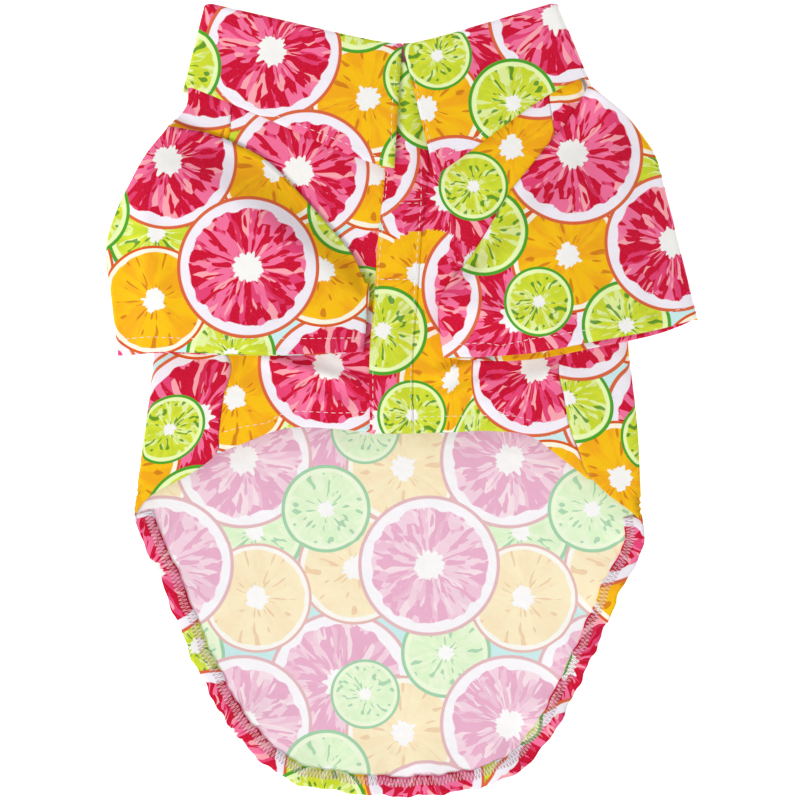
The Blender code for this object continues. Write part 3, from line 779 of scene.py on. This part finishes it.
class Placement:
    """Where the print lies on a piece: a slice's centre at a place, and the turn of the print."""

    def __init__(self, number, x, y, turn=0.0, mirrored=False):
        here = SLICES[number]
        self.chart = (here.x / 1000, here.y / 1000)
        self.place = (photo_x(x), photo_y(y))
        self.turn = math.radians(turn)
        self.mirrored = mirrored

    def at(self, x, y):
        x, y = x - self.place[0], y - self.place[1]
        if self.mirrored:
            x = -x
        c, s = math.cos(self.turn), math.sin(self.turn)
        return self.chart[0] + c * x - s * y, self.chart[1] + s * x + c * y


BACK_PRINT = Placement(3, 243, 458, mirrored=True)
PRINT_SLIDE = {-1: (0.0069, 0.0), 1: (0.0018, 0.0046)}  # of the back's print, round each side fold
SHOULDER_PRINT = Placement(3, 208, 62, 90)
CHEST_LEFT = Placement(0, 299, 172)
BELLY_LEFT = Placement(0, 329, 365)
CHEST_RIGHT = Placement(8, 449, 197, 180)
BELLY_RIGHT = Placement(1, 390, 398, 180)
BAND_PRINT = Placement(1, 412, 415, 187)
SHARED_SLICE = (photo_x(428), photo_y(284), 0.0248)     # the orange that both prints pass behind
SLEEVE_PRINT = {-1: Placement(0, 249, 268), 1: Placement(0, 572, 155, 168)}
PEEK_PRINT = Placement(0, 640, 308)                     # inside the right sleeve's lower hem
COLLAR_PRINT = {-1: Placement(3, 273, 52, 22), 1: Placement(1, 437, 57, -32)}


def add_object(name, data):
    """Puts a mesh, a light or a camera into the scene."""
    added = bpy.data.objects.new(name, data)
    bpy.context.scene.collection.objects.link(added)
    return added


def add_piece(name, shape, materials):
    """A new piece of the shirt from a bmesh."""
    mesh = bpy.data.meshes.new(name)
    shape.to_mesh(mesh)
    shape.free()
    for material in materials:
        mesh.materials.append(material)
    mesh.shade_smooth()
    piece = add_object(name, mesh)
    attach(piece, "root")
    return piece


def lay_cloth(name, columns, rows, place, ring=False, printed=None, turned_in=None):
    """A grid of columns by rows. place gives a point in space and its place on the print.

    printed may choose another place on the print, from a face's middle, whether it looks up, and
    the corner's point. Where turned_in says so, the cloth shows its outside on both sides, as a
    turned-in hem does."""
    grid = bmesh.new()
    bmesh.ops.create_grid(grid, x_segments=columns, y_segments=rows, size=0.5)
    flat = {}
    for vertex in grid.verts:
        u, v = vertex.co.x + 0.5, vertex.co.y + 0.5
        point, flat[vertex] = place(u, v)
        vertex.co = point
    grid.normal_update()
    layer = grid.loops.layers.uv.new("cloth")
    for face in grid.faces:
        middle = face.calc_center_median()
        if turned_in and turned_in(middle):
            face.material_index = 2
        for corner in face.loops:
            chosen = printed and printed(middle, face.normal.z > 0, corner.vert.co)
            corner[layer].uv = chosen or flat[corner.vert]
    if ring:
        bmesh.ops.remove_doubles(grid, verts=grid.verts, dist=1e-6)
    materials = (PRINT, PRINT_INSIDE) + ((PRINT, PRINT) if turned_in else ())
    cloth = add_piece(name, grid, materials)
    shell = cloth.modifiers.new("wall", "SOLIDIFY")
    shell.thickness = CLOTH
    shell.offset = -1
    shell.material_offset = 1
    shell.material_offset_rim = 0
    return cloth


def shoulder_print(middle, looks_up, point):
    """Above the left sleeve another part of the print lies on the back panel's wrapped edge."""
    on_top = middle.z > 0.5 * body_top(middle.x, middle.y)
    if on_top and middle.x < photo_x(240) and middle.y > photo_y(150):
        return SHOULDER_PRINT.at(point.x, point.y)
    return None


def make_back_panel():
    """Grid rows run from side to side. Its last rows bend round to the end of the tail."""
    half, fold_columns, wrap_columns = 30, 10, 14
    side_columns = half + fold_columns + wrap_columns
    body_rows, tail_rows = 76, 60
    margin = 2 * HEM_WIDTH

    def across(index, y):
        side = -1 if index < side_columns else 1
        index = abs(index - side_columns)
        length = sheet_length(y, side)
        radius = (edge_height(y) - floor_lift(y)) / 2
        outer = max(length - half_width(y, side) + radius, margin)
        folded = min(math.pi * radius, 0.55 * outer)
        if index <= half:
            distance = (length - outer) * index / half
        elif index <= half + fold_columns:
            distance = length - outer + folded * (index - half) / fold_columns
        else:
            distance = length - outer + folded
            distance += (outer - folded) * (index - half - fold_columns) / wrap_columns
        x, z = around_side(distance, y, side)
        folded_share = ease((distance - half_width(y, side) + radius) / (math.pi * radius))
        slide = PRINT_SLIDE[side]
        flat = side * (distance + slide[0] * folded_share), y + slide[1] * folded_share
        return x, y - neck_shift(x, y) - 2 * GAP, z, flat

    def start(u):
        return across(round(u * 2 * side_columns), back_y(TAIL_NARROWS))[:2]

    def end(u):
        return HALF_WIDTH * read(TAIL_END, "across", u), back_y(read(TAIL_END, "along", u))

    def tail_side(side):
        def edge(v):
            along = TAIL_NARROWS + v * (BODY[-1].along - TAIL_NARROWS)
            return side * HALF_WIDTH * read(BODY, side_name(side), along), back_y(along)
        return edge

    def place(u, v):
        row = round(v * (body_rows + tail_rows))
        index = round(u * 2 * side_columns)
        if row <= body_rows:
            x, y, z, flat = across(index, back_y(TAIL_NARROWS * row / body_rows))
        else:
            down = (row - body_rows) / tail_rows
            x, y = patch(u, down, start, end, tail_side(-1), tail_side(1))
            z = across(index, back_y(TAIL_NARROWS))[2] * (1 - down)
            flat = x, y
        high = z + tail_height(x, y)
        shift_x, shift_y = scallop(x, y)
        return (x + shift_x, y + shift_y, high), BACK_PRINT.at(*flat)

    return lay_cloth("back", 2 * side_columns, body_rows + tail_rows, place, printed=shoulder_print)


def make_tail_hem():
    """A band on the inside of the tail, along its edge."""

    def place(u, v):
        index = int(u * (len(TAIL_EDGE) - 1))
        inward = edge_inward(index)
        point = TAIL_EDGE[index] + inward * (0.1 * LAYER + v * HEM_WIDTH)
        beyond = TAIL_EDGE[index] - inward * v * HEM_WIDTH
        height = tail_height(*point) + 2 * CLOTH + GAP * math.sin(math.pi * v)
        shift_x, shift_y = scallop(*point)
        return (point[0] + shift_x, point[1] + shift_y, height), BACK_PRINT.at(*beyond)

    return lay_cloth("tail_turning", 320, 6, place)


def placket_left(along):
    return HALF_WIDTH * read(PLACKET, "left", along)


def front_split(along):
    """The line under the placket where the two front panels meet."""
    return placket_left(along) + 0.78 * PLACKET_WIDTH


def left_print(middle, looks_up, point):
    """The chest's print ends under the sleeve."""
    return (CHEST_LEFT if middle.y > photo_y(300) else BELLY_LEFT).at(point.x, point.y)


def right_print(middle, looks_up, point):
    """Beside the band the print goes on from it, and further out it slides away a little."""
    x, y, radius = SHARED_SLICE
    if middle.y > y and math.hypot(middle.x - x, middle.y - y) > radius:
        return CHEST_RIGHT.at(point.x, point.y)
    near, far = BAND_PRINT.at(point.x, point.y), BELLY_RIGHT.at(point.x, point.y)
    share = ease((point.x - photo_x(446)) / (photo_x(482) - photo_x(446)))
    return near[0] + share * (far[0] - near[0]), near[1] + share * (far[1] - near[1])


def make_front(side):
    """One belly panel. Its inner edge lies under the placket."""

    def outer(v):
        y = belly_y(read(FRONT_EDGE[side], "along", v))
        across = read(FRONT_EDGE[side], "across", v) * HALF_WIDTH
        edge = wrap_edge(y, side) - SEAM
        seamed = ease((0.22 - v) / 0.06) + ease((v - 0.76) / 0.06)
        tucked = ARMHOLE_TUCK * math.sin(math.pi * min(max((v - 0.2) / 0.58, 0.0), 1.0))
        return side * min(across + tucked + seamed * (edge - across), edge), y

    def inner(v):
        x = front_split(v) + side * GAP
        return x, belly_y(v)

    def neck(u):
        start, stop = outer(0)[0], inner(0)[0]
        return start + u * (stop - start), belly_y(0)

    def hem(u):
        start, stop = outer(1)[0], inner(1)[0]
        x = start + u * (stop - start)
        return x, belly_y(read(BELLY_HEM, "along", x / HALF_WIDTH))

    def place(u, v):
        u, v = (u if side < 0 else 1 - u), 1 - v
        x, y = patch(u, v, neck, hem, outer, inner)
        y = y - neck_shift(x, y) - 2 * GAP
        return (x, y, body_top(x, y)), (0.0, 0.0)

    printed = left_print if side < 0 else right_print
    return lay_cloth(f"belly_{side_name(side)}", 76, 150, place, printed=printed)


def make_placket():
    def place(u, v):
        along = BAND_END + v * (BAND_TOP - BAND_END)
        x = placket_left(along) + u * PLACKET_WIDTH
        y = belly_y(along)
        y = y - neck_shift(x, y)
        lift = BAND_LIFT + (FLUSH - BAND_LIFT) * ease((u - 0.5) / 0.5)
        return (x, y, body_top(x, y) + lift), (0.0, 0.0)

    return lay_cloth("front_band", 16, 110, place, printed=right_print)


def make_closure():
    def place(u, v):
        along = CLOSURE_END + v * (CLOSURE_TOP - CLOSURE_END)
        x = placket_left(along) + GAP + u * CLOSURE_WIDTH
        y = belly_y(along)
        return (x, y, body_top(x, y) + BAND_LIFT / 2), BAND_PRINT.at(x, y)

    return lay_cloth("hidden_closure", 6, 30, place)


def make_sleeve(side):
    """A flattened tube. Its upper and its lower side join at half round folds."""
    flat_columns, fold_columns, rings = 44, 8, 44
    columns = 2 * (flat_columns + fold_columns)
    inset = SLEEVE_EDGE / 2 + LAYER
    spot = SLEEVE_PRINT[side]

    def start_line(kind):
        def edge(u):
            across = read(ARMHOLE[side], f"{kind}_across", u) * HALF_WIDTH + inset * (2 * u - 1)
            return side * across, belly_y(read(ARMHOLE[side], f"{kind}_along", u))
        return edge

    outer_start = start_line("seam")(0)
    inner_start = start_line("seam")(1)

    def hem(u):
        across = read(SLEEVE_HEM[side], "across", u) * (SLEEVE_OPENING - 2 * inset)
        drop = read(SLEEVE_HEM[side], "drop", u) * SLEEVE_LENGTH
        return inner_start[0] + side * across, outer_start[1] - drop

    def fold(begin, finish, column, direction):
        def edge(v):
            bow = read(SLEEVE_BOW, column, v) * SLEEVE_LENGTH * direction
            return begin[0] + v * (finish[0] - begin[0]) + bow, begin[1] + v * (finish[1] - begin[1])
        return edge

    outer_fold = fold(outer_start, hem(0), side_name(side), side)
    inner_fold = fold(inner_start, hem(1), f"inner_{side_name(side)}", -side)

    def upper(u, v):
        x, y = patch(u, v, start_line("seam"), hem, outer_fold, inner_fold)
        ground = under_sleeve(x, y)
        tightest = 3 * LAYER * abs(2 * u - 1) ** 8
        flat_part = tightest + (SLEEVE_EDGE - tightest) * ease(v / 0.25) + LAYER + GAP
        swell = (SLEEVE_LOFT - SLEEVE_EDGE) * math.sin(math.pi * u) ** 0.8 * ease(v / 0.35)
        folds = soft_folds(f"sleeve_{side_name(side)}", x, y) * ease(v / 0.35)
        return np.array([x, y, ground + flat_part + swell + folds])

    def lower(u, v):
        x, y = patch(u, v, start_line("under"), hem, outer_fold, inner_fold)
        y -= SLEEVE_PEEK[side] * math.sin(math.pi * u) ** 0.5 * ease((v - 0.6) / 0.4)
        return np.array([x, y, under_sleeve(x, y) + SLEEVE_CLEARANCE])

    def turn(end, share, v):
        top, bottom = upper(end, v), lower(end, v)
        outward = -side if end else side
        angle = math.pi * share
        reach = np.linalg.norm(top - bottom) / 2
        bulge = np.array([outward * reach * math.sin(angle), 0, 0])
        point = (top + bottom) / 2 + (top - bottom) / 2 * math.cos(angle) + bulge
        return point, spot.at(top[0] + outward * reach * angle, point[1])

    def place(u, v):
        u = 1 - u if side < 0 else u
        at = round(u * columns) % columns
        if at <= flat_columns:
            point = upper(at / flat_columns, v)
            return point, spot.at(point[0], point[1])
        if at < flat_columns + fold_columns:
            return turn(1, (at - flat_columns) / fold_columns, v)
        if at <= 2 * flat_columns + fold_columns:
            share = 1 - (at - flat_columns - fold_columns) / flat_columns
            point = lower(share, v)
            end = 1 if share > 0.5 else 0
            top, bottom = upper(end, v), lower(end, v)
            outward = -side if end else side
            beyond = math.pi * np.linalg.norm(top - bottom) / 2 + abs(point[0] - bottom[0])
            return point, spot.at(top[0] + outward * beyond, point[1])
        return turn(0, 1 - (at - 2 * flat_columns - fold_columns) / fold_columns, v)

    def turned_in(middle):
        start, stop = hem(0), hem(1)
        share = (middle.x - start[0]) / (stop[0] - start[0])
        return middle.y - (start[1] + share * (stop[1] - start[1])) < SLEEVE_HEM_TURN

    def printed(middle, looks_up, point):
        if side > 0 and not looks_up and turned_in(middle):
            return PEEK_PRINT.at(point.x, point.y)
        return None

    return lay_cloth(f"arm_{side_name(side)}", columns, rings, place, ring=True, printed=printed,
                     turned_in=turned_in)


def make_collar():
    """One strip round the neck: up the stand, over the roll, and down the fall outside it."""
    front, fold, back = 34, 10, 40
    stand_rows, roll_rows, fall_rows = 8, 10, 26
    columns = 2 * front + 2 * fold + back
    rows = stand_rows + roll_rows + fall_rows
    half_roll = COLLAR_ROLL / 2
    low = half_roll
    stand_shift = 0.01      # of the print inside the roll, where it doesn't show

    def station(index):
        """Side, place from centre to side, and angle round the side fold from front to back."""
        if index <= front:
            return -1, index / front, 0.0
        if index < front + fold:
            return -1, 1.0, math.pi * (index - front) / fold
        if index <= front + fold + back:
            across = 2 * (index - front - fold) / back - 1
            return (-1 if across < 0 else 1), abs(across), math.pi
        if index < columns - front:
            return 1, 1.0, math.pi * (columns - front - index) / fold
        return 1, (columns - index) / front, 0.0

    def leaf_lift(x):
        """The front of the collar lies over the placket and bulges there."""
        return (2 * LAYER + 4 * GAP) * math.exp(-((x / (2 * PLACKET_WIDTH)) ** 2))

    def place(u, v):
        side, out, angle = station(round(u * columns))
        row = round(v * rows)
        reach = collar_reach(side)
        high_edge = EDGE_LOFT + half_roll - LAYER
        fold_radius = (high_edge - low) / 2
        inner_reach = reach - fold_radius - half_roll
        roll_x = side * (out * (inner_reach - GAP) + GAP)
        roll_y = NECK_LINE + COLLAR_STAND - half_roll - neck_drop(side * out * reach)
        drop = read(COLLAR, f"{side_name(side)}_drop", out) * COLLAR_FALL
        spread = read(COLLAR, f"{side_name(side)}_spread", out) * COLLAR_FALL * side
        back_share = (1 - math.cos(angle)) / 2
        drop = drop + (BACK_FALL - drop) * back_share
        spread = spread * (1 if out > 0.999 else 1 - back_share * (1 - out))
        down = max(0.0, (row - stand_rows - roll_rows) / fall_rows)
        if row <= stand_rows:
            turn = 0.0
            y = roll_y - (COLLAR_STAND - half_roll) * (1 - row / stand_rows)
        else:
            turn = math.pi * min(1.0, (row - stand_rows) / roll_rows)
            y = roll_y + half_roll * math.sin(turn) - (drop - half_roll) * down
        x = roll_x + spread * down
        high = body_top(x, min(y, NECK_LINE)) + half_roll - LAYER + leaf_lift(x) * down ** 0.5
        middle = (high + low) / 2
        radius = (high - low) / 2
        normal = np.array([side * math.sin(angle), 0.0, math.cos(angle)])
        ring = np.array([x + side * fold_radius * math.sin(angle), y, middle + radius * math.cos(angle)])
        point = ring - normal * half_roll * math.cos(turn)
        flat_x = x + side * radius * angle
        if angle > 3:
            flat_x = side * (2 * inner_reach + math.pi * radius) - x
        flat_y = y + half_roll * (math.pi - turn) if row > stand_rows else 2 * roll_y - y + stand_shift
        return point, COLLAR_PRINT[side].at(flat_x, flat_y)

    return lay_cloth("collar_cloth", columns, rows, place)


BEAD = bpy.data.meshes.new("bead")


def surface_of(piece):
    """The upper side of a piece of cloth, to set stitches on."""
    shape = bmesh.new()
    shape.from_mesh(piece.data)
    tree = BVHTree.FromBMesh(shape)
    shape.free()
    return tree


def set_on(tree, x, y):
    """The highest point of a surface at a place, with its normal, or nothing beside it."""
    point, normal, index, distance = tree.ray_cast(Vector((x, y, 0.1)), Vector((0, 0, -1)))
    return (point, normal) if point is not None else (None, None)


def lay_stitch(threads, start, end, normal, width):
    """One stitch: a slim bead between two points, half sunk into the cloth."""
    along = end - start
    across = normal.cross(along).normalized()
    turn = Matrix((along.normalized(), across, normal)).transposed().to_4x4()
    size = Matrix.Diagonal((along.length / 2, width / 2, width * THREAD_HEIGHT, 1))
    place = Matrix.Translation((start + end) / 2 + normal * width * THREAD_RISE)
    bead = bmesh.new()
    bmesh.ops.create_uvsphere(bead, u_segments=6, v_segments=5, radius=1, matrix=place @ turn @ size)
    bead.to_mesh(BEAD)
    bead.free()
    threads.from_mesh(BEAD)


def sew(name, piece, lines):
    """Rows of stitches on a piece. Each line is a list of points with their x and y in metres."""
    tree = surface_of(piece)
    threads = bmesh.new()
    for line in lines:
        points = np.array(line)
        steps = np.linalg.norm(np.diff(points, axis=0), axis=1)
        lengths = np.concatenate([[0], np.cumsum(steps)])
        for begin in np.arange(0.0, lengths[-1] - STITCH, STITCH + STITCH_GAP):
            ends = []
            for at in (begin, begin + STITCH):
                x, y = (float(np.interp(at, lengths, points[:, i])) for i in (0, 1))
                ends.append(set_on(tree, x, y))
            if ends[0][0] is None or ends[1][0] is None:
                continue
            if (ends[1][0] - ends[0][0]).length > 1.4 * STITCH:
                continue
            normal = (ends[0][1] + ends[1][1]).normalized()
            lay_stitch(threads, ends[0][0], ends[1][0], normal, THREAD_WIDTH)
    return add_piece(name, threads, [WHITE_THREAD])


def overlock(name, piece, finish, offset):
    """Threads to and fro over the raw edge of the tail's turned-in hem."""
    tree = surface_of(piece)
    threads = bmesh.new()
    count = int(TAIL_PLACES[-1] / NET_PITCH)

    def spot(at, inside):
        at = min(max(at, 0.0), 1.0) * (len(TAIL_EDGE) - 1)
        index = int(at)
        inward = edge_inward(index)
        edge = TAIL_EDGE[index]
        if index + 1 < len(TAIL_EDGE):
            edge = edge + (at - index) * (TAIL_EDGE[index + 1] - edge)
        point = edge + inward * inside
        shift_x, shift_y = scallop(*point)
        return set_on(tree, point[0] + shift_x, point[1] + shift_y)

    outer, inner = HEM_WIDTH - NET_REACH, HEM_WIDTH - NET_MARGIN
    for step in range(count):
        places = [(step + offset, outer), (step + offset + 0.5, inner), (step + offset + 1, outer)]
        points = [spot(at / count, inside) for at, inside in places]
        if any(point is None for point, normal in points):
            continue
        for (start, normal), (end, unused) in zip(points, points[1:]):
            lay_stitch(threads, start, end, normal, NET_WIDTH)
    return add_piece(name, threads, [finish])


def picture_line(*places):
    """A row of points given by their pixels in the photograph."""
    return [(photo_x(x), photo_y(y)) for x, y in places]


BACK = make_back_panel()
TURNING = make_tail_hem()
BELLY_L = make_front(-1)
BELLY_R = make_front(1)
HIDDEN = make_closure()
BAND = make_placket()
ARM_L = make_sleeve(-1)
ARM_R = make_sleeve(1)
NECK = make_collar()

NET = overlock("overlock_net", TURNING, PALE_THREAD, 0.0)
# A second net of dark threads, offset by half a stitch: painted shade in the gaps of the pale net
NET_BELOW = overlock("overlock_painted_shade", TURNING, PAINTED_SHADE_THREAD, 0.5)
COLLAR_THREADS = sew("collar_stitches", NECK, [
    picture_line((186, 83), (235, 100), (362, 151), (386, 162), (391, 150), (392, 110), (397, 60)),
    picture_line((586, 75), (557, 87), (519, 111), (482, 133), (470, 144), (440, 160), (432, 150),
                 (421, 108), (409, 60)),
])
BAND_THREADS = sew("band_stitches", BAND, [
    picture_line((421, 172), (421, 204), (418, 240), (414.5, 292), (411, 356), (411, 430)),
    picture_line((388, 172), (386, 192), (381, 243), (378, 280), (374, 330), (373, 370), (373, 430)),
    picture_line((384, 204), (424, 204)),
    picture_line((380, 280), (416, 280)),
    picture_line((372, 416), (412, 416)),
])
LEFT_HEM_THREADS = sew("left_hem_stitches", BELLY_L, [
    picture_line((224, 432), (241, 427), (267, 423), (283, 413), (300, 411), (337, 413), (369, 412)),
])
RIGHT_HEM_THREADS = sew("right_hem_stitches", BELLY_R, [
    picture_line((415, 417), (448, 416), (471, 416), (496, 415), (516, 416), (532, 421), (561, 441)),
])
ARM_L_THREADS = sew("left_arm_stitches", ARM_L, [
    picture_line((118, 340), (149, 337), (197, 339), (234, 339), (306, 339), (366, 338)),
])
ARM_R_THREADS = sew("right_arm_stitches", ARM_R, [
    picture_line((442, 346), (483, 343), (500, 346), (532, 339), (588, 330), (662, 314), (696, 305)),
])

bpy.data.meshes.remove(BEAD)

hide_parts("back_panel")
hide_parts("tail_hem")
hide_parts("front_left")
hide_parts("front_right")
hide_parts("closure_strip")
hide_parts("placket")
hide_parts("sleeve_left")
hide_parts("sleeve_right")
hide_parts("collar")


def make_stage():
    """A pale floor, soft light from all round, and a camera straight overhead."""
    floor = bmesh.new()
    bmesh.ops.create_grid(floor, x_segments=4, y_segments=4, size=6.0)
    mesh = bpy.data.meshes.new("studio_floor")
    floor.to_mesh(mesh)
    floor.free()
    mesh.materials.append(make_floor_finish())
    stage = add_object("studio_floor", mesh)
    stage.location.z = -0.0002

    world = bpy.data.worlds.new("studio")
    world.use_nodes = True
    world.node_tree.nodes["Background"].inputs["Color"].default_value = (1.0, 1.0, 1.0, 1.0)
    world.node_tree.nodes["Background"].inputs["Strength"].default_value = 0.50
    bpy.context.scene.world = world

    for name, power, angle, turn in (
        ("key_light", 1.75, 28, (46, 0, -38)),
        ("fill_light", 0.35, 90, (30, 0, 140)),
    ):
        sun = bpy.data.lights.new(name, "SUN")
        sun.energy = power
        sun.angle = math.radians(angle)
        add_object(name, sun).rotation_euler = [math.radians(a) for a in turn]

    lens = bpy.data.cameras.new("overhead")
    lens.sensor_width = 36.0
    distance = 4.0
    lens.lens = lens.sensor_width * distance / (PICTURE * PIXEL)
    lens.clip_end = 20.0
    camera = add_object("overhead", lens)
    camera.location = (photo_x(PICTURE / 2), photo_y(PICTURE / 2), distance)
    bpy.context.scene.camera = camera
    bpy.context.scene.view_settings.view_transform = "Standard"


make_stage()
